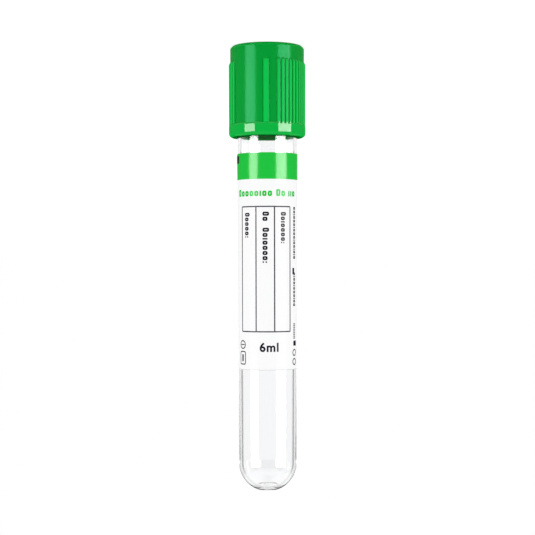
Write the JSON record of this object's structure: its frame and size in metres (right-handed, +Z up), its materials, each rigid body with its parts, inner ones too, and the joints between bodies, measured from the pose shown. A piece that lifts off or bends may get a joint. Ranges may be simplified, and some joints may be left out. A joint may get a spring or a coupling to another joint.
{
  "type": "blood collection tube",
  "caption": "Clear round-ended tube with a wrap label, a rubber stopper and a ribbed green safety cap that twists and pulls off, for drawing and carrying blood.",
  "frame": {"origin": "centre of the bounding box's bottom: on the ground, on the tube's axis, level with the cap's face", "axes": "+Z up along the tube, from the cap's face towards its round end, the printed side towards -Y"},
  "size_m": [0.017, 0.017, 0.0982],
  "materials": {
    "clear_plastic": "clear, polished",
    "label_film": "satin white film with a printed green band",
    "stopper_rubber": "dull, moulded",
    "cap_plastic": "semi-gloss moulded green"
  },
  "bodies": {
    "cap": {"cap": "cap_plastic"},
    "stopper": {"stopper": "stopper_rubber"},
    "tube": {"tube": "clear_plastic", "label": "label_film"}
  },
  "joints": [
    {"name": "cap_twist", "type": "hinge", "parent": "cap", "child": "stopper", "pos_m": [0, 0, 0.0046], "axis": [0, 0, 1], "continuous": true},
    {"name": "closure_pull", "type": "slide", "parent": "stopper", "child": "tube", "axis": [0, 0, 1], "range_m": [0, 0.025]}
  ]
}
